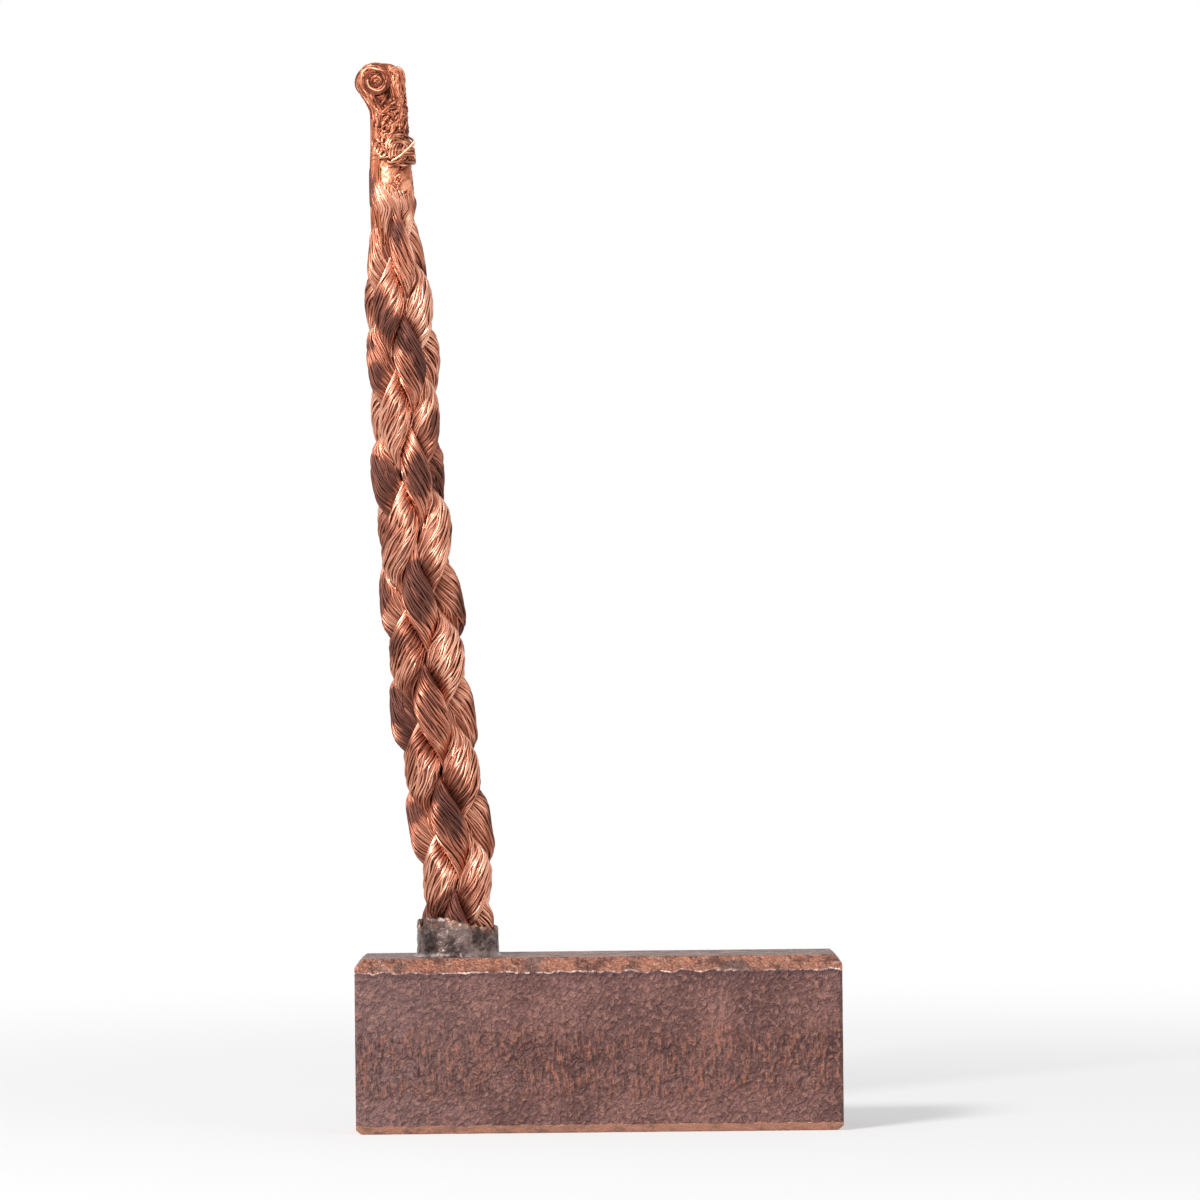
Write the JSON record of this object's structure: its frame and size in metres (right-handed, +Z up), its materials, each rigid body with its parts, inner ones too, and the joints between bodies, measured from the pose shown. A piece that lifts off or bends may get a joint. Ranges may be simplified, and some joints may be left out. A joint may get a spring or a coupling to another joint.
{
  "type": "carbon brush",
  "caption": "Bevelled copper-graphite brush block with a low pressed boss and a stiff plaited copper pigtail that stands up from it to a fused, wire-bound end.",
  "frame": {"origin": "centre of the block's underside, the face that the brush stands on", "axes": "+Z up along the pigtail, +X along the block to its contact face, -Y is the side face shown in front"},
  "size_m": [0.025, 0.0064, 0.0551],
  "materials": {
    "copper_graphite": "rough pressed copper and graphite powder, purple-brown sides, coppery bevels, grey top and boss",
    "plaited_copper": "bare fine copper wires, bright on some crossings and tarnished dark brown on others",
    "fused_copper": "copper wires fused together by heat, pitted, orange-brown",
    "binding_copper": "bright fine copper wire"
  },
  "bodies": {
    "root": {"brush_block": "copper_graphite", "strand_1": "plaited_copper", "strand_2": "plaited_copper", "strand_3": "plaited_copper", "strand_4": "plaited_copper", "strand_5": "plaited_copper", "strand_6": "plaited_copper", "strand_7": "plaited_copper", "strand_8": "plaited_copper", "fused_tip": "fused_copper", "binding_wire": "binding_copper"}
  },
  "joints": []
}
